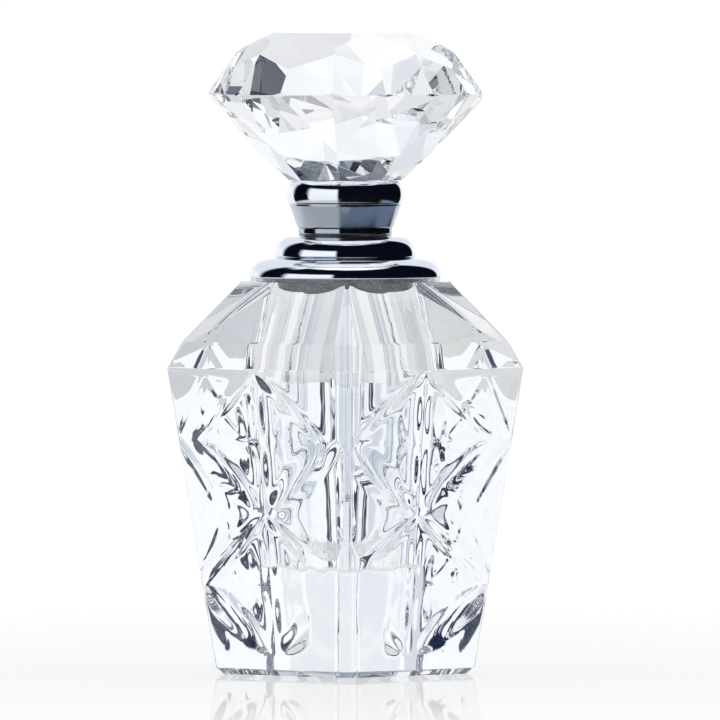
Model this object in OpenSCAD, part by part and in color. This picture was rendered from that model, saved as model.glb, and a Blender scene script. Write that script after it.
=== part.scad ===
// Cut-crystal scent bottle with a push-in dabber stopper.
// Millimetres, +Z up, origin at the centre of the base. One corner of the square body faces -Y.

/* [Crystal body] */
// Distance from the axis to each main face at the base
base_half = 15.3; // [14.8:0.1:16]
// Distance from the axis to each main face at the shoulder line
shoulder_half = 20.9; // [20.5:0.1:21.5]
// Distance from the axis to each corner bevel at the base
base_bevel_reach = 20; // [19.6:0.1:20.6]
// Distance from the axis to each corner bevel at the shoulder line
shoulder_bevel_reach = 27.8; // [27.4:0.1:28.4]
// Height of the shoulder line, where the walls stop flaring
shoulder_z = 47.7; // [46.5:0.1:48.5]
// Height of the line between the two shoulder tiers
tier_z = 51.9; // [51.5:0.1:52.5]
// Height of the flat top that the collar stands on
platform_z = 61.2; // [60.8:0.1:61.4]
// Chamfer around the foot of the body
foot_chamfer = 1; // [0.4:0.1:1.4]

/* [Drilled hollow] */
// Radius of the hollow and of the neck bore
hollow_r = 8.5; // [8.3:0.1:8.7]
// Height of the flat floor of the hollow
hollow_floor_z = 17; // [12:0.5:22]
// Outer radius of the neck inside the collar
neck_r = 10; // [9.8:0.05:10]
// Height of the rim of the neck
neck_top_z = 65.9; // [65.5:0.1:66]

/* [Cut pattern] */
// Half the width of the diamonds
diamond_half_w = 15; // [14:0.1:17]
// Width of the grooves that outline the diamonds
groove_w = 3.2; // [2:0.1:3.6]
// Depth of the grooves that outline the diamonds
groove_depth = 0.9; // [0.4:0.1:1.2]
// Width of the fine lines that cross inside each diamond
line_w = 1; // [0.6:0.1:1.4]
// Depth of the fine lines that cross inside each diamond
line_depth = 0.3; // [0.2:0.05:0.6]
// Height of the middle of the upper diamonds
upper_diamond_z = 36.4; // [36:0.1:37]
// Height of the middle of the lower diamonds
lower_diamond_z = 13.8; // [13.4:0.1:14.2]
// Ball radius of the scoops in the quarters of each diamond
scoop_r = 7; // [6:0.5:10]
// Depth of the scoops
scoop_depth = 0.6; // [0.4:0.1:1.1]

/* [Collar] */
// Outer radius of the domed flange
flange_r = 15.2; // [14.5:0.1:15.6]
// Outer radius of the bead above the flange
bead_r = 11.1; // [10.9:0.05:11.4]
// Height of the top of the bead
collar_top_z = 68.2; // [68:0.1:68.4]

/* [Stopper] */
// Radius of the plug that slides in the sleeve
plug_r = 6.52; // [6.5:0.01:6.56]
// Radius of the bore that the plug slides in
sleeve_bore_r = 6.6; // [6.6:0.01:6.64]
// Radius of the taper where it meets the foot band
taper_foot_r = 7.5; // [7.4:0.05:7.7]
// Radius of the taper under the cup
taper_head_r = 8.75; // [8.5:0.05:8.9]
// Largest radius of the cup that holds the crystal knob
cup_r = 9.2; // [9:0.05:9.4]
// Radius of the glass dabber rod
rod_r = 1.5; // [1.2:0.1:1.6]
// Height of the tip of the rod with the stopper home
rod_tip_z = 28.5; // [22:0.5:32]

/* [Crystal knob] */
// Overall height of the bottle, at the table of the knob
overall_z = 100; // [99.5:0.1:100.5]
// Radius of the knob at its girdle
girdle_r = 21.4; // [21:0.1:21.8]
// Height of the upper edge of the girdle
girdle_z = 90.8; // [90.4:0.1:91.2]
// Thickness of the polished girdle band
girdle_t = 0.6; // [0.3:0.1:1]
// Distance from the axis to the edges of the table
table_reach = 10.8; // [10.2:0.1:11.2]
// Turn of the knob about its axis, in degrees
knob_turn = 16; // [0:1:45]

/* [Hidden] */
$fn = 96;
eps = 0.01;
stock = 60;

// Crystal body: four main faces, turned so that a corner bevel looks along -Y
sides = 4;
face_turn = 45;
chamfer_rise = -45;
tier_half = 19.27;
tier_bevel_reach = 25.4;
platform_half = 11.6;
platform_bevel_reach = 16.2;

// Cut pattern, as shares of a diamond: how far a groove runs on past its corner, and where the scoops lie
run_out = 0.2;
scoop_across = 0.33;
scoop_up = 0.36;

// Collar: thicknesses, and the rounding of the turned edges
gasket_t = 0.6;
gasket_inset = 0.4;
edge_break = 0.3;
flange_h = 3.1;
flange_edge = 0.2;
flange_round = 4;
bead_edge = 0.5;
bead_round = 2.5;
bead_arc_end = 84;
sleeve_flange_t = 0.9;
sleeve_drop = 3.1;

// Stopper
plug_drop = 1.6;
washer_t = 0.35;
washer_w = 0.7;
washer_gap = 0.05;
band_t = 1;
band_inset = 0.15;
cup_base_z = 73.3;
cup_top_z = 77;
cup_belly = 1.2;
cup_belly_z = 1.3;
cup_arc = [-20, 80];
stud_r = 2;
stud_depth = 2;
stud_end_gap = 0.2;
bush_r = 2.6;
bush_drop = 0.6;
grip_top_z = 61.6;
grip_gap = 1;
ring_tube_r = 0.62;
ring_tube_steps = 48;
ring_r = 5.92;
ring_groove_floor_r = 5.24;
ring_groove_w = 1.6;
ring_z = [60.3, 64.3];
arc_steps = 14;

// Crystal knob: rise of each row of facets, from the table down to the cup
knob_facets = 8;
star_rise = 66;
kite_rise = 52;
girdle_rise = 35;
pavilion_rise = -45;
lower_girdle_rise = -41;
girdle_inset = 0.4;

flange_z = platform_z + gasket_t;
bead_z = flange_z + flange_h;
sleeve_top_z = neck_top_z + sleeve_flange_t;
sleeve_foot_z = platform_z - sleeve_drop;
plug_foot_z = sleeve_foot_z - plug_drop;
washer_z = collar_top_z + washer_gap;
band_z = washer_z + washer_t;
taper_z = band_z + band_t;
stud_foot_z = grip_top_z + grip_gap;
lean = atan((shoulder_half - base_half) / shoulder_z);
bevel_lean = atan((shoulder_bevel_reach - base_bevel_reach) / shoulder_z);
diamond_h = (upper_diamond_z - lower_diamond_z) / 2;

// Points along an elliptical arc, from angle a0 to a1
function bow(cx, cz, rx, rz, a0, a1) =
    [for (i = [0:arc_steps]) let (a = a0 + (a1 - a0) * i / arc_steps) [cx + rx * cos(a), cz + rz * sin(a)]];

// Everything beyond a plane whose normal points to an azimuth and rises above the horizontal
module beyond(azimuth, rise, reach, height) {
    rotate([0, 0, azimuth])
        translate([reach, 0, height])
            rotate([0, -rise, 0])
                translate([0, -stock, -stock])
                    cube([stock, 2 * stock, 2 * stock]);
}

// The same facet cut all the way round
module facets(count, turn, rise, reach, height) {
    for (i = [0:count - 1])
        beyond(turn + i * 360 / count, rise, reach, height);
}

// A ring or disc between two heights
module ring(outer_r, inner_r, low_z, high_z) {
    difference() {
        translate([0, 0, low_z]) cylinder(r = outer_r, h = high_z - low_z);
        translate([0, 0, low_z - eps]) cylinder(r = inner_r, h = high_z - low_z + 2 * eps);
    }
}

// A straight V groove across a face, from one point of the face to another
module groove(from, to, width, depth) {
    run = to - from;
    over = depth / 2;
    half_top = width / 2 * (depth + over) / depth;
    translate([0, from[0], from[1]])
        rotate([atan2(-run[0], run[1]), 0, 0])
            linear_extrude(norm(run))
                polygon([[-depth, 0], [over, half_top], [over, -half_top]]);
}

// The height of a point along the leaning face that lies at a true height
function along(z) = z / cos(lean);

// One diamond: its crossed fine lines and its four scooped quarters
module diamond_cuts(middle, half_w, half_h) {
    groove([0, middle - half_h], [0, middle + half_h], line_w, line_depth);
    groove([-half_w, middle], [half_w, middle], line_w, line_depth);
    for (side = [-1, 1], rise = [-1, 1])
        translate([scoop_r - scoop_depth, side * half_w * scoop_across, middle + rise * half_h * scoop_up])
            sphere(r = scoop_r);
}

// The cut pattern of one face, in the plane of that face: x out, y across, z up along it
module face_pattern() {
    half_h = along(diamond_h);
    upper = along(upper_diamond_z);
    lower = along(lower_diamond_z);
    far_w = diamond_half_w * (1 + run_out);
    past_h = half_h * run_out;
    for (side = [-1, 1]) {
        groove([0, upper + half_h], [side * far_w, upper - past_h], groove_w, groove_depth);
        groove([-side * far_w, lower - past_h], [side * far_w, upper + past_h], groove_w, groove_depth);
        groove([0, lower - half_h], [side * far_w, lower + past_h], groove_w, groove_depth);
    }
    diamond_cuts(upper, diamond_half_w, half_h);
    diamond_cuts(lower, diamond_half_w, half_h);
}

// How far the normal of a sloping facet rises, from its reach at its lower and upper edges
function facet_rise(low_reach, high_reach, height) = atan((low_reach - high_reach) / height);

// The faceted outside of the bottle: flared walls, two shoulder tiers and a chamfered foot
module faceted_body() {
    difference() {
        cylinder(r = stock, h = platform_z);
        facets(sides, face_turn, -lean, base_half, 0);
        facets(sides, 0, -bevel_lean, base_bevel_reach, 0);
        facets(sides, face_turn, facet_rise(shoulder_half, tier_half, tier_z - shoulder_z),
               shoulder_half, shoulder_z);
        facets(sides, 0, facet_rise(shoulder_bevel_reach, tier_bevel_reach, tier_z - shoulder_z),
               shoulder_bevel_reach, shoulder_z);
        facets(sides, face_turn, facet_rise(tier_half, platform_half, platform_z - tier_z),
               tier_half, tier_z);
        facets(sides, 0, facet_rise(tier_bevel_reach, platform_bevel_reach, platform_z - tier_z),
               tier_bevel_reach, tier_z);
        facets(sides, face_turn, chamfer_rise, base_half - foot_chamfer, 0);
        facets(sides, 0, chamfer_rise, base_bevel_reach - foot_chamfer, 0);
    }
}

module crystal_bottle() {
    color("aliceblue", 0.4)
        difference() {
            union() {
                difference() {
                    faceted_body();
                    for (i = [0:sides - 1])
                        rotate([0, 0, face_turn + i * 360 / sides])
                            translate([base_half, 0, 0])
                                rotate([0, lean, 0])
                                    face_pattern();
                }
                cylinder(r = neck_r, h = neck_top_z);
            }
            translate([0, 0, hollow_floor_z]) cylinder(r = hollow_r, h = stock);
        }
}

module collar_gasket() {
    color("gainsboro")
        ring(flange_r - gasket_inset, neck_r, platform_z, flange_z);
}

module collar_flange() {
    color("silver")
        rotate_extrude()
            polygon(concat([[neck_r, flange_z], [flange_r - edge_break, flange_z]],
                           bow(flange_r - flange_round, flange_z + flange_edge,
                               flange_round, flange_h - flange_edge, 0, 90),
                           [[neck_r, bead_z]]));
}

module collar_bead() {
    color("silver")
        rotate_extrude()
            polygon(concat([[neck_r, bead_z], [bead_r - edge_break, bead_z]],
                           bow(bead_r - bead_round, bead_z + bead_edge,
                               bead_round, collar_top_z - bead_z - bead_edge, 0, bead_arc_end),
                           [[sleeve_bore_r, collar_top_z], [sleeve_bore_r, sleeve_top_z],
                            [neck_r, sleeve_top_z]]));
}

module neck_sleeve() {
    color("lightsteelblue")
        difference() {
            union() {
                translate([0, 0, sleeve_foot_z]) cylinder(r = hollow_r, h = neck_top_z - sleeve_foot_z);
                translate([0, 0, neck_top_z]) cylinder(r = neck_r, h = sleeve_flange_t);
            }
            translate([0, 0, sleeve_foot_z - eps]) cylinder(r = sleeve_bore_r, h = stock);
        }
}

module o_rings() {
    color("dimgray")
        for (z = ring_z)
            translate([0, 0, z])
                rotate_extrude()
                    translate([ring_r, 0]) circle(r = ring_tube_r, $fn = ring_tube_steps);
}

module plug_core() {
    color("gainsboro")
        difference() {
            translate([0, 0, plug_foot_z]) cylinder(r = plug_r, h = band_z - plug_foot_z);
            for (z = ring_z)
                ring(plug_r + eps, ring_groove_floor_r, z - ring_groove_w / 2, z + ring_groove_w / 2);
            translate([0, 0, plug_foot_z - eps]) cylinder(r = bush_r, h = grip_top_z - plug_foot_z + eps);
            translate([0, 0, stud_foot_z]) cylinder(r = stud_r, h = stock);
        }
}

module stopper_washer() {
    color("white")
        ring(plug_r + washer_w, plug_r, washer_z, band_z);
}

module foot_band() {
    color("dimgray")
        ring(taper_foot_r - band_inset, stud_r, band_z, taper_z);
}

module taper_sleeve() {
    color("slategray")
        difference() {
            translate([0, 0, taper_z])
                cylinder(r1 = taper_foot_r, r2 = taper_head_r, h = cup_base_z - taper_z);
            translate([0, 0, taper_z - eps]) cylinder(r = stud_r, h = stock);
        }
}

module knob_cup() {
    color("silver")
        difference() {
            rotate_extrude()
                polygon(concat([[0, cup_base_z], [cup_r - band_inset, cup_base_z]],
                               bow(cup_r - cup_belly, cup_base_z + cup_belly_z,
                                   cup_belly, cup_top_z - cup_base_z - cup_belly_z, cup_arc[0], cup_arc[1]),
                               [[0, cup_top_z]]));
            translate([0, 0, cup_base_z - eps]) cylinder(r = stud_r, h = stud_depth + stud_end_gap + eps);
        }
}

module through_stud() {
    color("darkgray")
        translate([0, 0, stud_foot_z]) cylinder(r = stud_r, h = cup_base_z + stud_depth - stud_foot_z);
}

// A brilliant cut with a wide table and a pavilion cut off flat where it meets the cup
module crystal_knob() {
    half_step = 180 / knob_facets;
    turn = knob_turn - 90;
    color("white", 0.4)
        difference() {
            translate([0, 0, cup_top_z]) cylinder(r = girdle_r, h = overall_z - cup_top_z);
            facets(knob_facets, turn + half_step, star_rise, table_reach, overall_z);
            facets(knob_facets, turn, kite_rise, table_reach / cos(half_step), overall_z);
            facets(2 * knob_facets, turn + half_step / 2, girdle_rise, girdle_r - girdle_inset, girdle_z);
            facets(knob_facets, turn, pavilion_rise, girdle_r, girdle_z - girdle_t);
            facets(2 * knob_facets, turn + half_step / 2, lower_girdle_rise, girdle_r - girdle_inset,
                   girdle_z - girdle_t);
        }
}

module rod_bush() {
    color("whitesmoke")
        ring(bush_r, rod_r, plug_foot_z - bush_drop, grip_top_z);
}

module dabber_rod() {
    color("azure", 0.5)
        union() {
            translate([0, 0, rod_tip_z + rod_r]) cylinder(r = rod_r, h = grip_top_z - rod_tip_z - rod_r);
            translate([0, 0, rod_tip_z + rod_r]) sphere(r = rod_r);
        }
}

crystal_bottle();
collar_gasket();
collar_flange();
collar_bead();
neck_sleeve();
o_rings();
plug_core();
stopper_washer();
foot_band();
taper_sleeve();
knob_cup();
through_stud();
crystal_knob();
rod_bush();
dabber_rod();
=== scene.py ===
"""Looks of the cut-crystal dabber bottle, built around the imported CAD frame.

Lengths whose name ends in _MM, and those of the outlines, are in millimetres. All others are in metres.
"""

import math

import bmesh
import bpy
import numpy as np
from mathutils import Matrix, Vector


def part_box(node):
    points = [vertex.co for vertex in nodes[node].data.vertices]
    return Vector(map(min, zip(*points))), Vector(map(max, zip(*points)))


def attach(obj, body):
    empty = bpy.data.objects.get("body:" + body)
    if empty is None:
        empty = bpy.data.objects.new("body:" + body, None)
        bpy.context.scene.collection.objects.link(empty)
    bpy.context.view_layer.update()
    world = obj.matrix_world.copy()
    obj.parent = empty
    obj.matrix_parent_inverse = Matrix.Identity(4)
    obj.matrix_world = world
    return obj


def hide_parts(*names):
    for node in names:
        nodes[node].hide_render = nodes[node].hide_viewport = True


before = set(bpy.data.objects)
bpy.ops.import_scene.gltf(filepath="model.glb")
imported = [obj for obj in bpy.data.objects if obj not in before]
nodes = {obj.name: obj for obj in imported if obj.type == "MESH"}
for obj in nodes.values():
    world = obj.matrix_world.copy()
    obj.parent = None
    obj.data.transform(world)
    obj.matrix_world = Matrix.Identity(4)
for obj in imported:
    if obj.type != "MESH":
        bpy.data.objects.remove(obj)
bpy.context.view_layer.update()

MM = 0.001
BODY = "bottle"
STOPPER = "stopper"

# ---------------------------------------------------------------- sizes read from the frame, in millimetres


def extent_mm(node):
    """The lowest and highest corner of a CAD node, in millimetres."""
    low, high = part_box(node)
    return low / MM, high / MM


_, bottle_high = extent_mm("crystal_bottle")
knob_low, knob_high = extent_mm("crystal_knob")
flange_low, flange_high = extent_mm("collar_flange")
bead_low, bead_high = extent_mm("collar_bead")
_, sleeve_high = extent_mm("neck_sleeve")
taper_low, taper_high = extent_mm("taper_sleeve")
cup_low, cup_high = extent_mm("knob_cup")
band_low, band_high = extent_mm("foot_band")
rod_low, rod_high = extent_mm("dabber_rod")
gasket_low, _ = extent_mm("collar_gasket")
_, stud_high = extent_mm("through_stud")

# ---------------------------------------------------------------- mesh helpers


def new_object(name, mesh, body, node):
    """Links a finished mesh as a piece that rides on a body and stands for a CAD node."""
    piece = bpy.data.objects.new(name, mesh)
    bpy.context.scene.collection.objects.link(piece)
    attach(piece, body)
    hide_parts(node)
    return piece


def smooth_by_angle(mesh, degrees):
    """Smooth shading, with a crisp edge wherever two faces meet at more than the angle."""
    for polygon in mesh.polygons:
        polygon.use_smooth = True
    mesh.set_sharp_from_angle(angle=math.radians(degrees))


def arc(centre_r, centre_z, half_r, half_z, start, end, steps):
    """Points (r, z) along an elliptical arc, with the angles in degrees."""
    angles = np.radians(np.linspace(start, end, steps + 1))
    return [(centre_r + half_r * math.cos(a), centre_z + half_z * math.sin(a)) for a in angles]


def lathe(name, profile_mm, steps=192, closed=True, crisp=35):
    """A turned mesh from (r, z) points: a closed ring, or a solid whose two ends lie on the axis."""
    mesh_points = []
    rings = []
    for r, z in profile_mm:
        if r < 1e-6:
            rings.append([len(mesh_points)])
            mesh_points.append((0.0, 0.0, z * MM))
            continue
        rings.append(list(range(len(mesh_points), len(mesh_points) + steps)))
        for i in range(steps):
            a = 2 * math.pi * i / steps
            mesh_points.append((r * math.cos(a) * MM, r * math.sin(a) * MM, z * MM))
    faces = []
    pairs = list(zip(rings, rings[1:]))
    if closed:
        pairs.append((rings[-1], rings[0]))
    for low, high in pairs:
        for i in range(steps):
            j = (i + 1) % steps
            if len(low) == 1 and len(high) > 1:
                faces.append((low[0], high[j], high[i]))
            elif len(high) == 1 and len(low) > 1:
                faces.append((low[i], low[j], high[0]))
            elif len(low) > 1:
                faces.append((low[i], low[j], high[j], high[i]))
    mesh = bpy.data.meshes.new(name)
    mesh.from_pydata(mesh_points, [], faces)
    face_outwards(mesh)
    smooth_by_angle(mesh, crisp)
    return mesh


def face_outwards(mesh):
    """Turns every face of a closed mesh outwards."""
    bm = bmesh.new()
    bm.from_mesh(mesh)
    bmesh.ops.recalc_face_normals(bm, faces=bm.faces)
    bm.to_mesh(mesh)
    bm.free()


# ---------------------------------------------------------------- materials


def new_material(name):
    """A node material with one Principled shader, and its node tree and shader."""
    material = bpy.data.materials.new(name)
    material.use_nodes = True
    tree = material.node_tree
    shader = tree.nodes["Principled BSDF"]
    return material, tree, shader


def noise(tree, scale, detail=2.0, stretch=(1, 1, 1)):
    """Noise over the object's own coordinates; scale is in features per metre."""
    where = tree.nodes.new("ShaderNodeTexCoord")
    mapping = tree.nodes.new("ShaderNodeMapping")
    mapping.inputs["Scale"].default_value = stretch
    texture = tree.nodes.new("ShaderNodeTexNoise")
    texture.inputs["Scale"].default_value = scale
    texture.inputs["Detail"].default_value = detail
    tree.links.new(where.outputs["Object"], mapping.inputs["Vector"])
    tree.links.new(mapping.outputs["Vector"], texture.inputs["Vector"])
    return texture.outputs["Fac"]


NOISE_SPAN = (0.3, 0.7)  # where most of a noise's values lie


def spread(tree, value, low, high):
    """The noise value mapped onto low to high."""
    node = tree.nodes.new("ShaderNodeMapRange")
    node.inputs["From Min"].default_value = NOISE_SPAN[0]
    node.inputs["From Max"].default_value = NOISE_SPAN[1]
    node.inputs["To Min"].default_value = low
    node.inputs["To Max"].default_value = high
    tree.links.new(value, node.inputs["Value"])
    return node.outputs["Result"]


def tint(tree, value, first, second):
    """A colour between two, set by the noise value."""
    ramp = tree.nodes.new("ShaderNodeValToRGB")
    for element, position, paint in zip(ramp.color_ramp.elements, NOISE_SPAN, (first, second)):
        element.position = position
        element.color = (*paint, 1)
    tree.links.new(value, ramp.inputs["Fac"])
    return ramp.outputs["Color"]


def bump(tree, shader, value, distance_mm, strength=1.0):
    """Bumps the shader's normal by the value."""
    node = tree.nodes.new("ShaderNodeBump")
    node.inputs["Strength"].default_value = strength
    node.inputs["Distance"].default_value = distance_mm * MM
    tree.links.new(value, node.inputs["Height"])
    tree.links.new(node.outputs["Normal"], shader.inputs["Normal"])


def glass_material(name, ior, first, second, waviness_mm, haze):
    """Clear glass: a faint drift of tint, a trace of polish haze and the slow waviness of its surface."""
    material, tree, shader = new_material(name)
    shader.inputs["Transmission Weight"].default_value = 1.0
    shader.inputs["IOR"].default_value = ior
    tree.links.new(tint(tree, noise(tree, 45), first, second), shader.inputs["Base Color"])
    tree.links.new(spread(tree, noise(tree, 400), 0.0, haze), shader.inputs["Roughness"])
    bump(tree, shader, noise(tree, 140, 1.0), waviness_mm)
    return material


def metal_material(name, first, second, roughness, grain_mm, stretch, grain_scale, anisotropy=0.0):
    """Plated or turned metal: mottled tint, uneven polish and a fine grain."""
    material, tree, shader = new_material(name)
    shader.inputs["Metallic"].default_value = 1.0
    shader.inputs["Anisotropic"].default_value = anisotropy
    tree.links.new(tint(tree, noise(tree, 120), first, second), shader.inputs["Base Color"])
    tree.links.new(spread(tree, noise(tree, 900, 3.0), *roughness), shader.inputs["Roughness"])
    bump(tree, shader, noise(tree, grain_scale, 3.0, stretch), grain_mm)
    if anisotropy:
        tangent = tree.nodes.new("ShaderNodeTangent")
        tangent.direction_type = "RADIAL"
        tangent.axis = "Z"
        tree.links.new(tangent.outputs["Tangent"], shader.inputs["Tangent"])
    return material


def plastic_material(name, first, second, roughness, clearness=0.0, grain_mm=0.01):
    """Moulded plastic or rubber with a fine grain; clearness is how much light passes through."""
    material, tree, shader = new_material(name)
    shader.inputs["Transmission Weight"].default_value = clearness
    tree.links.new(tint(tree, noise(tree, 300), first, second), shader.inputs["Base Color"])
    tree.links.new(spread(tree, noise(tree, 1500, 3.0), *roughness), shader.inputs["Roughness"])
    bump(tree, shader, noise(tree, 2500, 3.0), grain_mm)
    return material


CRYSTAL_IOR = 1.52
ROD_IOR = 1.5
EVEN = (1, 1, 1)  # how a metal's grain is stretched
crystal = glass_material("crystal", CRYSTAL_IOR, (0.975, 0.985, 0.995), (0.99, 0.995, 1.0), 0.012, 0.01)
knob_crystal = glass_material("knob_crystal", CRYSTAL_IOR, (0.985, 0.99, 0.998), (0.995, 0.998, 1.0),
                              0.0002, 0.0015)
rod_glass = glass_material("rod_glass", ROD_IOR, (0.80, 0.84, 0.88), (0.87, 0.90, 0.93), 0.01, 0.01)
chrome = metal_material("chrome", (0.80, 0.84, 0.90), (0.86, 0.89, 0.94), (0.015, 0.05), 0.002, EVEN, 700)
dark_chrome = metal_material("dark_chrome", (0.42, 0.46, 0.52), (0.5, 0.54, 0.6), (0.03, 0.08), 0.002,
                             EVEN, 700)
satin = metal_material("satin_metal", (0.46, 0.51, 0.58), (0.52, 0.57, 0.65), (0.12, 0.2), 0.003,
                       (1, 1, 30), 300, 0.4)
# Painted shade: the cup's seat under the knob is near-black metal, while the rest of the cup is chrome.
seat_painted_shade = metal_material("seat_painted_shade", (0.03, 0.035, 0.04), (0.10, 0.11, 0.125), (0.25, 0.4), 0.01,
                            EVEN, 500)
sleeve_metal = metal_material("sleeve_metal", (0.10, 0.115, 0.12), (0.2, 0.22, 0.23), (0.2, 0.4), 0.01,
                              (1, 1, 25), 300, 0.4)
steel = metal_material("steel", (0.52, 0.52, 0.53), (0.62, 0.62, 0.64), (0.2, 0.32), 0.01,
                       (1, 1, 40), 300, 0.4)
plug_plastic = plastic_material("plug_plastic", (0.70, 0.73, 0.77), (0.76, 0.79, 0.83), (0.35, 0.5))
clear_plastic = plastic_material("clear_plastic", (0.92, 0.95, 0.96), (0.96, 0.98, 0.99), (0.06, 0.12),
                                 1.0, 0.0005)
rubber = plastic_material("seal_rubber", (0.025, 0.025, 0.027), (0.045, 0.045, 0.048), (0.5, 0.7),
                          0.0, 0.02)

# ---------------------------------------------------------------- crystal bottle

FACE_HALF_MM = (15.3, 20.9, 19.27, 11.6)  # reach of the main faces at the foot, shoulder, tier and platform
BEVEL_REACH_MM = (20.0, 27.8, 25.4, 16.2)  # reach of the corner bevels at the same heights
SHOULDER_MM = 47.7
TIER_MM = 51.9
FOOT_CHAMFER_MM = 1.0
HOLLOW_R_MM = 8.5
HOLLOW_FLOOR_MM = 17.0
HOLLOW_ROUND_MM = 0.6  # radius round the hollow's floor
HOLLOW_LEVELS = 12
OPTICAL_LAP_MM = 0.02  # how far touching pieces overlap, so that no film of air shows between them
CRISP_CUT = 32  # degrees; where the body's faces meet at more, the edge is crisp

FACE_COLUMNS = 160
BEVEL_COLUMNS = 14
PATTERN_PITCH_MM = 0.25  # between the levels of points up a face
EDGE_ROUND_MM = 0.25
CORNER_ROUND_MM = 0.7  # of the upright edges
EDGE_STEPS = 5

UPPER_DIAMOND_MM = 36.4  # heights of the middles of the two diamonds
LOWER_DIAMOND_MM = 13.8
# The faces are cut by hand: for each, the half width of its diamonds, how far their middle line stands off
# the face's own at the foot and at the shoulder, the boldness of its relief, and the side (+1 or -1) on
# which its lowest row was polished nearly smooth. Back right, back left, front left, front right.
FACE_CUTS_MM = (
    (14.6, 0.5, -0.4, 0.3, 0),
    (14.9, -0.4, 0.6, 0.3, 0),
    (13.9, 0.0, 0.0, 1.7, 1),
    (16.0, -1.6, -3.2, 1.7, -1),
)
POLISHED_ACROSS_MM = (6.3, 8.3)  # off the face's middle, from where to where the cuts fade
POLISHED_UP_MM = (22.0, 18.0)  # the same up the face
POLISHED_REST = 0.12  # the share of their depth that is left there
UPPER_MITRE_MM = (2.2, 0.42)  # width and depth
LOWER_MITRE_MM = (4.4, 0.7)
UPPER_MITRE_LEAF = 0.3  # share of its length over which a mitre's end runs out into the face
LOWER_MITRE_LEAF = 0.35
LOWER_MITRE_RUN = 0.88  # share of the diamond's side that the lower mitre cuts
LINE_MM = (0.7, 0.1)  # width and depth of the fine lines across the diamonds
LINE_LEAF = 0.2
GROOVE_BLUNTNESS = 0.16  # radius of a groove's bottom, as a share of its width
LEAF_FULLNESS = 0.7  # under 1, a groove's ends reach their full depth sooner
LINE_FOOT = 0.9  # share of the half height that the upright line reaches below the middle
TALL_PETAL_MM = (2.3, 4.4, 2.1, 3.9, 0.27)  # middle across and up, half width and height, depth
WIDE_PETAL_MM = (6.8, 2.4, 3.6, 2.1, 0.16)
SIDE_SCOOP_MM = 0.42  # depth of the scoops beside the diamonds
SIDE_SCOOP_RIM_MM = 2.6
SIDE_SCOOP_CORNER_MM = 1.73
NECK_MM = 1.5  # half the flat left between the scoops and the point where the diamonds meet
CUT_BLEND_MM = 0.14  # softness of the ridges between cuts
FACE_BLEND_MM = 0.05  # softness where a cut runs out into the face
SHOULDER_FADE_MM = 0.4
FOOT_FADE_MM = 1.2
NEAR_FACE_MM = 3.0  # points deeper inside the outline than this belong to other faces

LEAN = math.atan((FACE_HALF_MM[1] - FACE_HALF_MM[0]) / SHOULDER_MM)


def soft_positive(value, softness):
    """The value where it is positive and 0 elsewhere, with the corner between them rounded."""
    return 0.5 * (value + np.sqrt(value * value + softness * softness))


def smooth_step(value, start, end):
    """0 up to the start, 1 beyond the end, with an even ease between them."""
    t = np.clip((value - start) / (end - start), 0, 1)
    return t * t * (3 - 2 * t)


def groove(u, s, start, end, width, depth, leaf):
    """Depth of a V groove with a blunt bottom; leaf is how much of its length runs out into the face."""
    start = np.array(start, float)
    run = np.array(end, float) - start
    t = np.clip(((u - start[0]) * run[0] + (s - start[1]) * run[1]) / (run @ run), 0, 1)
    away = np.hypot(u - start[0] - t * run[0], s - start[1] - t * run[1])
    blunt = GROOVE_BLUNTNESS * width
    away = np.sqrt(away * away + blunt * blunt) - blunt
    full = np.sin(0.5 * math.pi * np.clip(np.minimum(t, 1 - t) / leaf, 0, 1)) ** LEAF_FULLNESS
    return depth * (full - away / (width / 2))


def petal(u, s, middle_u, middle_s, half_u, half_s, depth):
    """Depth of a shallow oval bowl."""
    return depth * (1 - ((u - middle_u) / half_u) ** 2 - ((s - middle_s) / half_s) ** 2)


def diamond_cuts(u, s, wide, middle, half_h):
    """The cuts of one diamond: its four mitred sides, four tall and four wide petals, and a fine cross."""
    cuts = []
    for side in (-1, 1):
        tip = (side * wide, middle)
        low_end = (side * (1 - LOWER_MITRE_RUN) * wide, middle - LOWER_MITRE_RUN * half_h)
        cuts.append(groove(u, s, (0, middle + half_h), tip, *UPPER_MITRE_MM, UPPER_MITRE_LEAF))
        cuts.append(groove(u, s, tip, low_end, *LOWER_MITRE_MM, LOWER_MITRE_LEAF))
        for rise in (-1, 1):
            for across, up, half_u, half_s, depth in (TALL_PETAL_MM, WIDE_PETAL_MM):
                cuts.append(petal(u, s, side * across, middle + rise * up, half_u, half_s, depth))
    cuts.append(groove(u, s, (0, middle - LINE_FOOT * half_h), (0, middle + half_h), *LINE_MM, LINE_LEAF))
    cuts.append(groove(u, s, (-wide, middle), (wide, middle), *LINE_MM, LINE_LEAF))
    return cuts


def pattern_depth(u, s, wide):
    """Depth cut into a face at distance u across it and s up along it, in millimetres."""
    half_h = (UPPER_DIAMOND_MM - LOWER_DIAMOND_MM) / 2 / math.cos(LEAN)
    upper = UPPER_DIAMOND_MM / math.cos(LEAN)
    lower = LOWER_DIAMOND_MM / math.cos(LEAN)
    depth = np.zeros_like(u)
    for cut in diamond_cuts(u, s, wide, upper, half_h) + diamond_cuts(u, s, wide, lower, half_h):
        depth = depth + soft_positive(cut - depth, CUT_BLEND_MM)
    # The scoops fill the wedges left and right of the point where the two diamonds meet.
    crossing = (upper + lower) / 2
    to_mm = 1 / math.hypot(1 / wide, 1 / half_h)
    out = (np.abs(u) - NECK_MM) / wide
    above = (out - (s - crossing) / half_h) * to_mm
    below = (out + (s - crossing) / half_h) * to_mm
    inside = above - soft_positive(above - below, SIDE_SCOOP_CORNER_MM)
    return depth + SIDE_SCOOP_MM * smooth_step(inside, 0, SIDE_SCOOP_RIM_MM)


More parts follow.
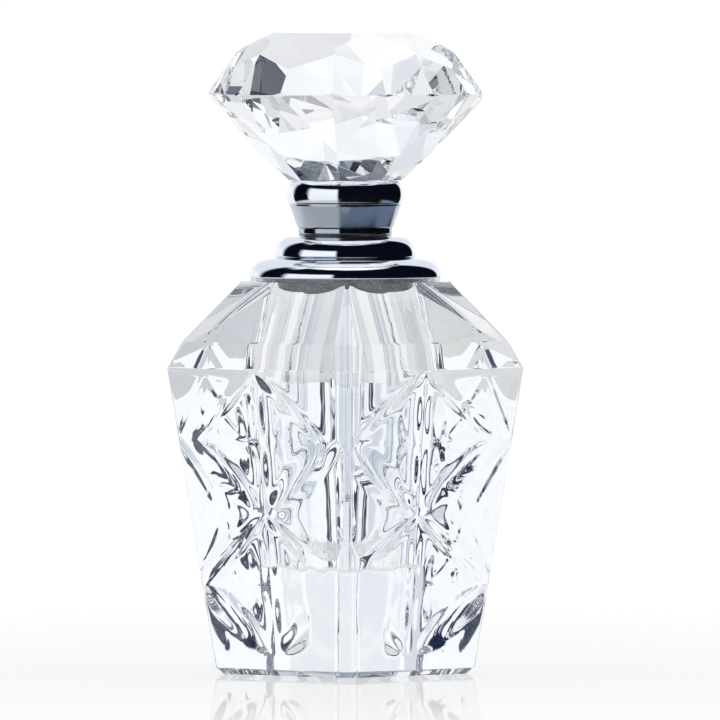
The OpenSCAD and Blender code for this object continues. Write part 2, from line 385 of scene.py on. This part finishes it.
def corner_curve(enter, corner, leave, steps):
    """Points of the short curve that rounds a corner off, with both its ends."""
    return [(1 - t) ** 2 * enter + 2 * t * (1 - t) * corner + t * t * leave
            for t in np.linspace(0, 1, steps + 1)]


def round_corners(points, reach, steps):
    """The same path of points with each inner corner replaced by a short curve."""
    longest = 0.45  # share of a side that one curve may take
    points = [np.array(p, float) for p in points]
    path = [points[0]]
    for before, corner, after in zip(points, points[1:], points[2:]):
        enter = corner + (before - corner) * min(longest, reach / np.linalg.norm(before - corner))
        leave = corner + (after - corner) * min(longest, reach / np.linalg.norm(after - corner))
        path += corner_curve(enter, corner, leave, steps)
    path.append(points[-1])
    return path


def wall_profile():
    """Height, face reach and bevel reach at each ring, from the foot to the platform."""
    foot = np.array([0, FACE_HALF_MM[0], BEVEL_REACH_MM[0]])
    shoulder = np.array([SHOULDER_MM, FACE_HALF_MM[1], BEVEL_REACH_MM[1]])
    corners = [
        foot - np.array([0, FOOT_CHAMFER_MM, FOOT_CHAMFER_MM]),
        foot + (shoulder - foot) * FOOT_CHAMFER_MM / SHOULDER_MM,
        shoulder,
        (TIER_MM, FACE_HALF_MM[2], BEVEL_REACH_MM[2]),
        (gasket_low.z + OPTICAL_LAP_MM, FACE_HALF_MM[3], BEVEL_REACH_MM[3]),
    ]
    path = round_corners(corners, EDGE_ROUND_MM, EDGE_STEPS)
    rings = [path[0]]
    for before, after in zip(path, path[1:]):
        count = 1
        if after[0] < SHOULDER_MM and after[0] - before[0] > PATTERN_PITCH_MM:
            count = math.ceil((after[0] - before[0]) / PATTERN_PITCH_MM)
        rings += [before + (after - before) * i / count for i in range(1, count + 1)]
    return rings


def ring_outline(face_reach, bevel_reach):
    """Points of one level, in order round the axis: each main face, then the bevel after it."""
    across = math.sqrt(2) * bevel_reach - face_reach
    bevel_w = 2 * (math.sqrt(2) * face_reach - bevel_reach)
    turn_in = min(CORNER_ROUND_MM, 0.4 * bevel_w)  # at least a fifth of the bevel stays flat
    points = []
    for side in range(4):
        azimuth = math.radians(45 + 90 * side)
        outward = np.array([math.cos(azimuth), math.sin(azimuth)])
        along = np.array([-outward[1], outward[0]])
        start = face_reach * outward - across * along
        end = face_reach * outward + across * along
        next_start = face_reach * along + across * outward
        face_turn = turn_in * along
        bevel_turn = turn_in * (next_start - end) / np.linalg.norm(next_start - end)
        points += list(np.linspace(start + face_turn, end - face_turn, FACE_COLUMNS + 1))
        points += corner_curve(end - face_turn, end, end + bevel_turn, EDGE_STEPS + 1)[1:-1]
        points += list(np.linspace(end + bevel_turn, next_start - bevel_turn, BEVEL_COLUMNS + 1))
        points += corner_curve(next_start - bevel_turn, next_start, next_start - turn_in * outward,
                               EDGE_STEPS + 1)[1:-1]
    return np.array(points)


def press_pattern(points):
    """Sinks the wall's points to the depth of the cut pattern of each face that they lie near."""
    for side, (wide, foot_drift, shoulder_drift, boldness, polished_side) in enumerate(FACE_CUTS_MM):
        azimuth = math.radians(45 + 90 * side)
        outward = np.array([math.cos(azimuth) * math.cos(LEAN), math.sin(azimuth) * math.cos(LEAN),
                            -math.sin(LEAN)])
        along = np.array([-math.sin(azimuth), math.cos(azimuth), 0])
        below = FACE_HALF_MM[0] * math.cos(LEAN) - points @ outward
        u = points @ along
        s = points[:, 2] / math.cos(LEAN) + below * math.tan(LEAN)
        drift = foot_drift + (shoulder_drift - foot_drift) * points[:, 2] / SHOULDER_MM
        if polished_side:
            polished = smooth_step(polished_side * u, *POLISHED_ACROSS_MM) * smooth_step(s, *POLISHED_UP_MM)
            boldness = boldness * (1 - (1 - POLISHED_REST) * polished)
        cut = soft_positive(boldness * pattern_depth(u - drift, s, wide) - below, FACE_BLEND_MM)
        fade = (np.clip((SHOULDER_MM - points[:, 2]) / SHOULDER_FADE_MM, 0, 1)
                * np.clip(points[:, 2] / FOOT_FADE_MM, 0, 1))
        sunk = np.where(below < NEAR_FACE_MM, cut * fade, 0)
        points = points - sunk[:, None] * outward
    return points


def crystal_bottle_mesh():
    """The closed crystal body: cut outside, neck, bore and rounded hollow, as levels joined by quads."""
    levels = []
    for z, face_reach, bevel_reach in wall_profile():
        outline = ring_outline(face_reach, bevel_reach)
        level = np.column_stack([outline, np.full(len(outline), z)])
        if z <= SHOULDER_MM:
            level = press_pattern(level)
        levels.append(level)
    azimuths = np.arctan2(levels[-1][:, 1], levels[-1][:, 0])
    neck_r = sleeve_high.x + OPTICAL_LAP_MM
    bore_r = HOLLOW_R_MM - OPTICAL_LAP_MM
    round_z = HOLLOW_FLOOR_MM + HOLLOW_ROUND_MM
    inner = [(neck_r, levels[-1][0, 2]), (neck_r, bottle_high.z), (bore_r, bottle_high.z)]
    inner += [(bore_r, z) for z in np.linspace(bottle_high.z, round_z, HOLLOW_LEVELS)[1:-1]]
    inner += arc(bore_r - HOLLOW_ROUND_MM, round_z, HOLLOW_ROUND_MM, HOLLOW_ROUND_MM, 0, -90,
                 2 * EDGE_STEPS)
    count = len(azimuths)
    for r, z in inner:
        levels.append(np.column_stack([r * np.cos(azimuths), r * np.sin(azimuths), np.full(count, z)]))
    columns = np.arange(count)
    faces = []
    for low in range(len(levels) - 1):
        a = low * count + columns
        b = low * count + (columns + 1) % count
        faces += np.column_stack([a, b, b + count, a + count]).tolist()
    top = (len(levels) - 1) * count
    faces.append(list(range(count))[::-1])
    faces.append(list(range(top, top + count)))
    mesh = bpy.data.meshes.new("crystal_bottle_cut")
    mesh.from_pydata((np.concatenate(levels) * MM).tolist(), [], faces)
    face_outwards(mesh)
    smooth_by_angle(mesh, CRISP_CUT)
    return mesh


# ---------------------------------------------------------------- crystal knob

KNOB_FLAT = 0.4  # degrees; faces of the CAD mesh that meet at less are one facet
KNOB_CREASE = 7  # degrees; edges where facets meet at less stay sharp
KNOB_EDGE_MM = 0.05  # how far the polished edge between two facets reaches into each
KNOB_LONG_EDGE_MM = 3.0  # so do shorter edges
KNOB_RIM = 0.97  # and so do those beyond this share of the girdle's radius


def crystal_knob_mesh():
    """The knob's own facets as single polygons, with a hair-fine polished edge between them."""
    bm = bmesh.new()
    bm.from_mesh(nodes["crystal_knob"].data)
    bmesh.ops.remove_doubles(bm, verts=bm.verts, dist=1e-6)
    bmesh.ops.dissolve_limit(bm, angle_limit=math.radians(KNOB_FLAT), verts=bm.verts, edges=bm.edges)
    girdle = knob_high.x * MM
    crease = math.radians(KNOB_CREASE)
    edges = [e for e in bm.edges if len(e.link_faces) == 2 and e.calc_face_angle(0) > crease
             and e.calc_length() > KNOB_LONG_EDGE_MM * MM
             and max(v.co.xy.length for v in e.verts) < KNOB_RIM * girdle]
    bmesh.ops.bevel(bm, geom=edges, offset=KNOB_EDGE_MM * MM, segments=2, profile=0.5, affect="EDGES",
                    clamp_overlap=True)
    # The seat reaches into the cup by the optical lap.
    lowest = knob_low.z * MM
    for v in bm.verts:
        if v.co.z < lowest + OPTICAL_LAP_MM * MM:
            v.co.z = lowest - OPTICAL_LAP_MM * MM
    mesh = bpy.data.meshes.new("crystal_knob_cut")
    bm.to_mesh(mesh)
    bm.free()
    return mesh


# ---------------------------------------------------------------- turned pieces

MOUTH_R_MM = 6.6
TAPER_FOOT_R_MM = 7.5
STUD_GAP_MM = 0.2  # above the stud, in the cup
ROD_GAP_MM = 0.1  # how much lower the rod's upper end is than in the CAD
SEAT_MM = 0.01  # the cup's faces that are no lower than this under its top are its seat


def flange_profile():
    """Domed flange with a rolled lower edge and a flat top under the bead."""
    outer = flange_high.x
    low = flange_low.z
    high = flange_high.z
    roll = 0.25
    dome = 4.0
    inner = sleeve_high.x
    return ([(inner, low), (outer - roll, low)] + arc(outer - roll, low + roll, roll, roll, -90, 0, 6)[1:]
            + arc(outer - dome, low + roll, dome, high - low - roll, 0, 90, 40)[1:] + [(inner, high)])


def bead_profile():
    """Bead above the flange, undercut at its foot, with a rolled rim round the mouth."""
    outer = bead_high.x
    low = bead_low.z
    high = bead_high.z
    undercut = 0.35
    edge = 0.45
    belly = 0.5
    dome = 2.5
    rim = 0.25
    return ([(sleeve_high.x, low), (outer - undercut, low)]
            + arc(outer - edge, low + edge, edge, edge, -70, 0, 8)
            + arc(outer - dome, low + belly, dome, high - low - belly, 2, 88, 40)
            + arc(MOUTH_R_MM + rim, high - rim, rim, rim, 90, 180, 6)
            + [(MOUTH_R_MM, sleeve_high.z), (sleeve_high.x, sleeve_high.z)])


def cup_profile():
    """Cup under the knob: a crisp lower edge, a full belly and a rounded rim."""
    outer = cup_high.x
    low = cup_low.z
    high = cup_high.z
    foot = 0.3
    roll = 0.15
    belly = 1.2
    belly_z = low + 1.5
    hole_top = stud_high.z + STUD_GAP_MM
    return ([(stud_high.x, low), (outer - foot, low)]
            + arc(outer - foot, low + roll, roll, roll, -90, -20, 4)[1:]
            + arc(outer - belly, belly_z, belly, high - belly_z, -35, 84, 40)
            + [(0, high), (0, hole_top), (stud_high.x, hole_top)])


def taper_profile():
    """Satin cone with a fine turned rim at its head and a chamfer at its foot."""
    foot = taper_low.z
    head = taper_high.z
    foot_r = TAPER_FOOT_R_MM
    head_r = taper_high.x
    chamfer = 0.12
    rim_in = 0.05
    rim_height = 0.3
    step_in = 0.15
    step_height = 0.15
    return [(stud_high.x, foot), (foot_r - chamfer, foot), (foot_r, foot + chamfer),
            (head_r - step_in, head - rim_height - step_height), (head_r - rim_in, head - rim_height),
            (head_r, head), (stud_high.x, head)]


def band_profile():
    """Polished band with rolled edges."""
    low = band_low.z
    high = band_high.z
    outer = band_high.x
    roll = 0.22
    return ([(stud_high.x, low), (outer - roll, low)]
            + arc(outer - roll, low + roll, roll, roll, -90, 0, 6)[1:]
            + arc(outer - roll, high - roll, roll, roll, 0, 90, 6) + [(stud_high.x, high)])


def rod_profile():
    """Glass rod with a round fire-polished tip."""
    r = rod_high.x
    tip = rod_low.z
    head = rod_high.z - ROD_GAP_MM
    return [(0, tip)] + arc(0, tip + r, r, r, -88, 0, 16) + [(r, head), (0, head)]


# ---------------------------------------------------------------- the pieces


def place(piece, material):
    """The same piece with one material."""
    piece.data.materials.clear()
    piece.data.materials.append(material)
    return piece


def crystal_piece(name, mesh, body, node, material):
    """A clear piece, which casts no solid shadow."""
    piece = place(new_object(name, mesh, body, node), material)
    piece.visible_shadow = False
    return piece


def turned_piece(name, profile_mm, body, node, material, crisp=35):
    """A lathed piece; its edges stay crisp where they turn by more than that many degrees."""
    return place(new_object(name, lathe(name, profile_mm, crisp=crisp), body, node), material)


crystal_piece("crystal_bottle_cut", crystal_bottle_mesh(), BODY, "crystal_bottle", crystal)
crystal_piece("crystal_knob_cut", crystal_knob_mesh(), STOPPER, "crystal_knob",
              knob_crystal)
crystal_piece("dabber_rod_glass", lathe("dabber_rod_glass", rod_profile(), 64, closed=False), STOPPER,
              "dabber_rod", rod_glass)
turned_piece("collar_flange_turned", flange_profile(), BODY, "collar_flange", chrome)
turned_piece("collar_bead_turned", bead_profile(), BODY, "collar_bead", chrome)
cup = turned_piece("knob_cup_turned", cup_profile(), STOPPER, "knob_cup", chrome)
cup.data.materials.append(seat_painted_shade)  # the seat that shows through the knob: a dull metal painted near black as the shade under the knob
for polygon in cup.data.polygons:
    if polygon.center.z > (cup_high.z - SEAT_MM) * MM:
        polygon.material_index = 1
turned_piece("taper_sleeve_turned", taper_profile(), STOPPER, "taper_sleeve", satin,
             crisp=20)
turned_piece("foot_band_turned", band_profile(), STOPPER, "foot_band", dark_chrome)

# CAD nodes that are shown as they are, with their materials.
CARRIED = {
    "neck_sleeve": sleeve_metal,
    "collar_gasket": clear_plastic,
    "stopper_washer": clear_plastic,
    "rod_bush": clear_plastic,
    "plug_core": plug_plastic,
    "through_stud": steel,
    "o_rings": rubber,
}
for node_name, material in CARRIED.items():
    cad_node = nodes[node_name]
    if not cad_node.material_slots:
        cad_node.data.materials.append(material)
    for slot in cad_node.material_slots:
        slot.material = material

# ---------------------------------------------------------------- stage and light

BACKDROP = 1.02  # just over full white, so that the backdrop shows as white
TABLE_REACH = 6.0
TABLE_GLOW = 0.7  # how much of the table's own look is glow and not paint
TABLE_MIRROR = 0.38  # how much it mirrors
TABLE_MELTS = (0.05, 0.4)  # distances from the bottle over which it melts into the backdrop
TABLE_MARGIN = 3  # soft margin of the shades on it, in degrees
TABLE_COLOURED = 0.9  # how much of the table shows in REFRACTED_TABLE's colours through the crystal

# The dark sides of the room: azimuth of the middle (0 is the front, 90 is +X) and half width, in degrees.
RIGHT_SIDE = (62, 78)
LEFT_SIDE = (-101, 22)
BLACK = (0.002, 0.003, 0.009)
NAVY = (0.006, 0.014, 0.042)
DEEP_BLUE = (0.01, 0.018, 0.05)
INK_BLUE = (0.014, 0.024, 0.065)

# What polished metal mirrors: the room's walls, and the panels before them. Each panel: azimuth of its
# middle, half width, elevation of its middle, half height and soft margin, in degrees, and its colour.
MIRRORED_WALLS = (1.04, 1.06, 1.09)
MIRRORED_PANELS = [
    (180, 60, 34, 20, 8, (0.84, 0.88, 0.94)),
    (*RIGHT_SIDE, 16, 46, 3, BLACK),
    (*LEFT_SIDE, 12, 42, 7, BLACK),
    (-48, 38, 44, 20, 4, BLACK),
    (0, 200, 90, 20, 4, (2.4, 2.4, 2.4)),
]
# What the crystal refracts: narrow dark panels, which its cuts draw out into dark strokes.
REFRACTED_WALLS = (1.03, 1.05, 1.09)
REFRACTED_PANELS = [
    (10, 54, 37, 29, 2, NAVY),
    (70, 8, 30, 12, 2, (0.026, 0.04, 0.075)),
    (30, 110, 70, 23, 4, (0.02, 0.032, 0.06)),
    (150, 50, 32, 13, 6, (0.60, 0.66, 0.74)),
    (178, 5, 9, 6, 4, (0.86, 0.90, 0.94)),
    (-148, 9, 14, 14, 4, (0.72, 0.76, 0.82)),
    (-118, 3.4, 15, 40, 1.2, NAVY),
    (118, 3.4, 15, 40, 1.2, NAVY),
    (-128, 5, 2, 9, 1.5, DEEP_BLUE),
    (128, 5, 2, 9, 1.5, DEEP_BLUE),
    (-76, 6.5, 0, 15, 2, INK_BLUE),
    (76, 6.5, 15, 40, 2, INK_BLUE),
    (-56, 10, 10, 6, 2, INK_BLUE),
    (0, 180, 36, 4, 3, (0.25, 0.30, 0.38)),
    (146.5, 4, 15.5, 3.5, 0.8, DEEP_BLUE),
]
# The table as it shows through the crystal: greyer than it shows to the camera, as painted shade, and the
# painted shade and light on it. Each shade: azimuth of its middle, half width, nearest and farthest
# distance in metres, and its colour.
REFRACTED_TABLE = (0.78, 0.79, 0.81)
PAINTED_TABLE_SHADES = [
    (95, 38, 0.04, 50, (0.60, 0.62, 0.66)),
    (-85, 25, 0.1, 50, (0.70, 0.715, 0.72)),
    (-158, 22, 0.04, 50, (1.0, 1.0, 1.0)),
    (-15, 52, 0.035, 0.19, (0.06, 0.09, 0.13)),
]
# The dark sides of the room, painted onto the table as a reflection that only polished metal sees, with
# distances in metres. Near the bottle they are slate, which the satin taper shows, and farther off black.
MIRRORED_DARK = (0.8, 1.0, 1.35)
SLATE = 0.27
BLACKEST = 0.004
DARK_STARTS = (0.04, 0.06)
BLACKENS_IN_FRONT = (0.08, 0.13)
BLACKENS_ELSEWHERE = (0.16, 0.25)
FRONT_SECTOR = (32, 48, 10)  # azimuth of the middle, half width and soft margin, in degrees
COLOUR_INPUTS = (6, 7)  # of a Mix node in its colour mode; its colour output is number 2


def math_node(tree, operation, *values):
    """A maths node; each value is a socket or a number."""
    node = tree.nodes.new("ShaderNodeMath")
    node.operation = operation
    for socket, value in zip(node.inputs, values):
        if isinstance(value, (int, float)):
            socket.default_value = value
        else:
            tree.links.new(value, socket)
    return node.outputs[0]


def eased(tree, value, start, end):
    """0 where the value is at the start, 1 where it is at the end, with an even ease between them."""
    fade = tree.nodes.new("ShaderNodeMapRange")
    fade.interpolation_type = "SMOOTHSTEP"
    fade.inputs["From Min"].default_value = start
    fade.inputs["From Max"].default_value = end
    tree.links.new(value, fade.inputs["Value"])
    return fade.outputs["Result"]


def window(tree, angle, middle, half, soft):
    """1 where the angle lies within half of the middle, falling to 0 over the soft margin."""
    away = math_node(tree, "WRAP", math_node(tree, "SUBTRACT", angle, middle), 180.0, -180.0)
    return eased(tree, math_node(tree, "ABSOLUTE", away), half + soft, half - soft)


def compass(tree, place):
    """Azimuth in degrees of a place or direction, 0 at the front and 90 at +X, and its Z."""
    split = tree.nodes.new("ShaderNodeSeparateXYZ")
    tree.links.new(place, split.inputs[0])
    front = math_node(tree, "MULTIPLY", split.outputs["Y"], -1.0)
    turn = math_node(tree, "ARCTAN2", split.outputs["X"], front)
    return math_node(tree, "MULTIPLY", turn, 180 / math.pi), split.outputs["Z"]


def paint_over(tree, under, share, paint):
    """The colour under, a socket or numbers, with its share of the paint over it."""
    mix = tree.nodes.new("ShaderNodeMix")
    mix.data_type = "RGBA"
    tree.links.new(share, mix.inputs["Factor"])
    low, high = COLOUR_INPUTS
    mix.inputs[high].default_value = (*paint, 1)
    if isinstance(under, tuple):
        mix.inputs[low].default_value = (*under, 1)
    else:
        tree.links.new(under, mix.inputs[low])
    return mix.outputs[2]


def mix_shaders(tree, share, first, second):
    """The first shader with a share of the second, a socket or a number."""
    node = tree.nodes.new("ShaderNodeMixShader")
    if isinstance(share, float):
        node.inputs["Fac"].default_value = share
    else:
        tree.links.new(share, node.inputs["Fac"])
    tree.links.new(first, node.inputs[1])
    tree.links.new(second, node.inputs[2])
    return node.outputs[0]


def emission(tree, colour, strength):
    """A glow; its colour is numbers or a socket, and so is its strength."""
    node = tree.nodes.new("ShaderNodeEmission")
    if isinstance(colour, tuple):
        node.inputs["Color"].default_value = (*colour, 1)
    else:
        tree.links.new(colour, node.inputs["Color"])
    if isinstance(strength, float):
        node.inputs["Strength"].default_value = strength
    else:
        tree.links.new(strength, node.inputs["Strength"])
    return node.outputs[0]


def table_shader(tree):
    """What the table shows: to the camera; to the metal that mirrors it, with a painted reflection of the
    room's dark sides; and through the crystal, with painted shade and light.
    """
    where = tree.nodes.new("ShaderNodeTexCoord").outputs["Object"]
    length = tree.nodes.new("ShaderNodeVectorMath")
    length.operation = "LENGTH"
    tree.links.new(where, length.inputs[0])
    distance = length.outputs["Value"]
    azimuth, _ = compass(tree, where)
    path = tree.nodes.new("ShaderNodeLightPath")
    through = path.outputs["Is Transmission Ray"]
    # Cycles counts a refracted ray as glossy too.
    mirrored = math_node(tree, "SUBTRACT", path.outputs["Is Glossy Ray"], through)

    glow = emission(tree, (1.0, 1.0, 1.0), BACKDROP)
    diffuse = tree.nodes.new("ShaderNodeBsdfDiffuse")
    diffuse.inputs["Color"].default_value = (0.97, 0.975, 0.98, 1)
    gloss = tree.nodes.new("ShaderNodeBsdfGlossy")
    gloss.inputs["Roughness"].default_value = 0.02
    lit = mix_shaders(tree, TABLE_GLOW, diffuse.outputs[0], glow)
    shown = mix_shaders(tree, TABLE_MIRROR, lit, gloss.outputs[0])
    shown = mix_shaders(tree, eased(tree, distance, *TABLE_MELTS), shown, glow)

    # Painted reflection: to mirrored rays the table shows the room's dark sides, slate near the bottle and
    # black farther off.
    right = window(tree, azimuth, *RIGHT_SIDE, TABLE_MARGIN)
    left = window(tree, azimuth, *LEFT_SIDE, TABLE_MARGIN)
    left = math_node(tree, "MULTIPLY", left, eased(tree, distance, *BLACKENS_ELSEWHERE))
    sides = math_node(tree, "MAXIMUM", right, left)
    dark = math_node(tree, "MULTIPLY", sides, eased(tree, distance, *DARK_STARTS))
    dark = math_node(tree, "MULTIPLY", dark, mirrored)
    dark.node.use_clamp = True
    in_front = math_node(tree, "MULTIPLY", window(tree, azimuth, *FRONT_SECTOR),
                         eased(tree, distance, *BLACKENS_IN_FRONT))
    blackened = math_node(tree, "MAXIMUM", in_front, eased(tree, distance, *BLACKENS_ELSEWHERE))
    level = math_node(tree, "MULTIPLY_ADD", blackened, BLACKEST - SLATE, SLATE)
    shown = mix_shaders(tree, dark, shown, emission(tree, MIRRORED_DARK, level))

    # Painted shade and light: through the crystal the table shows greyer than to the camera, with darker
    # and lighter patches painted on it.
    colour = REFRACTED_TABLE
    for middle, half, near, far, paint in PAINTED_TABLE_SHADES:
        band = math_node(tree, "SUBTRACT", eased(tree, distance, near, 1.2 * near),
                         eased(tree, distance, far, 1.1 * far))
        share = math_node(tree, "MULTIPLY", window(tree, azimuth, middle, half, TABLE_MARGIN), band)
        colour = paint_over(tree, colour, share, paint)
    refracted = mix_shaders(tree, TABLE_COLOURED, lit, emission(tree, colour, 1.0))
    return mix_shaders(tree, through, shown, refracted)


def floor():
    """A wide white table, which mirrors the foot of the bottle and melts into the backdrop."""
    mesh = bpy.data.meshes.new("floor")
    corners = [(x * TABLE_REACH, y * TABLE_REACH, 0) for x, y in ((-1, -1), (1, -1), (1, 1), (-1, 1))]
    mesh.from_pydata(corners, [], [(0, 1, 2, 3)])
    material = bpy.data.materials.new("floor")
    material.use_nodes = True
    tree = material.node_tree
    tree.nodes.clear()
    out = tree.nodes.new("ShaderNodeOutputMaterial")
    tree.links.new(table_shader(tree), out.inputs["Surface"])
    mesh.materials.append(material)
    table = bpy.data.objects.new("floor", mesh)
    bpy.context.scene.collection.objects.link(table)


def background(tree, colour, strength=1.0):
    """Light from the world; its colour is numbers or a socket."""
    node = tree.nodes.new("ShaderNodeBackground")
    node.inputs["Strength"].default_value = strength
    if isinstance(colour, tuple):
        node.inputs["Color"].default_value = (*colour, 1)
    else:
        tree.links.new(colour, node.inputs["Color"])
    return node.outputs[0]


def studio():
    """A white room. Polished metal mirrors large black panels in it; the crystal refracts narrow ones."""
    world = bpy.data.worlds.new("studio")
    bpy.context.scene.world = world
    world.use_nodes = True
    tree = world.node_tree
    tree.nodes.clear()
    out = tree.nodes.new("ShaderNodeOutputWorld")
    path = tree.nodes.new("ShaderNodeLightPath")
    azimuth, upward = compass(tree, tree.nodes.new("ShaderNodeTexCoord").outputs["Generated"])
    elevation = math_node(tree, "MULTIPLY", math_node(tree, "ARCSINE", upward), 180 / math.pi)

    def room(walls, panels):
        """The walls, with each panel over what is before it in the list."""
        colour = walls
        for middle, half_w, height, half_h, soft, paint in panels:
            share = math_node(tree, "MULTIPLY", window(tree, azimuth, middle, half_w, soft),
                              window(tree, elevation, height, half_h, soft))
            colour = paint_over(tree, colour, share, paint)
        return background(tree, colour)

    seen = background(tree, (1.0, 1.0, 1.0), BACKDROP)
    seen = mix_shaders(tree, path.outputs["Is Glossy Ray"], seen, room(MIRRORED_WALLS, MIRRORED_PANELS))
    seen = mix_shaders(tree, path.outputs["Is Transmission Ray"], seen,
                       room(REFRACTED_WALLS, REFRACTED_PANELS))
    tree.links.new(seen, out.inputs["Surface"])


CAMERA_DISTANCE = 4.0
CAMERA_HEIGHT = 0.15
CAMERA_TURN = 1.0  # degrees to the left of the front corner
FRAME_WIDTH = 0.1123  # metres that the picture is wide at the bottle
AIM = Vector((0.0023, 0.0, 0.0489))


def camera():
    """A long lens well in front of the bottle, looking slightly down on it."""
    data = bpy.data.cameras.new("camera")
    eye = bpy.data.objects.new("camera", data)
    bpy.context.scene.collection.objects.link(eye)
    turn = math.radians(CAMERA_TURN)
    eye.location = (AIM.x - CAMERA_DISTANCE * math.sin(turn), -CAMERA_DISTANCE * math.cos(turn),
                    CAMERA_HEIGHT)
    eye.rotation_euler = (AIM - eye.location).to_track_quat("-Z", "Y").to_euler()
    data.sensor_width = 36.0
    data.lens = data.sensor_width * (AIM - eye.location).length / FRAME_WIDTH
    data.clip_start = 0.1
    data.clip_end = 50
    bpy.context.scene.camera = eye


floor()
studio()
camera()

scene = bpy.context.scene
scene.view_settings.view_transform = "Standard"
# A ray crosses many cut faces before it leaves the crystal.
scene.cycles.max_bounces = 40
scene.cycles.transmission_bounces = 40
scene.cycles.glossy_bounces = 24
scene.cycles.transparent_max_bounces = 16
scene.cycles.caustics_reflective = False
scene.cycles.caustics_refractive = False
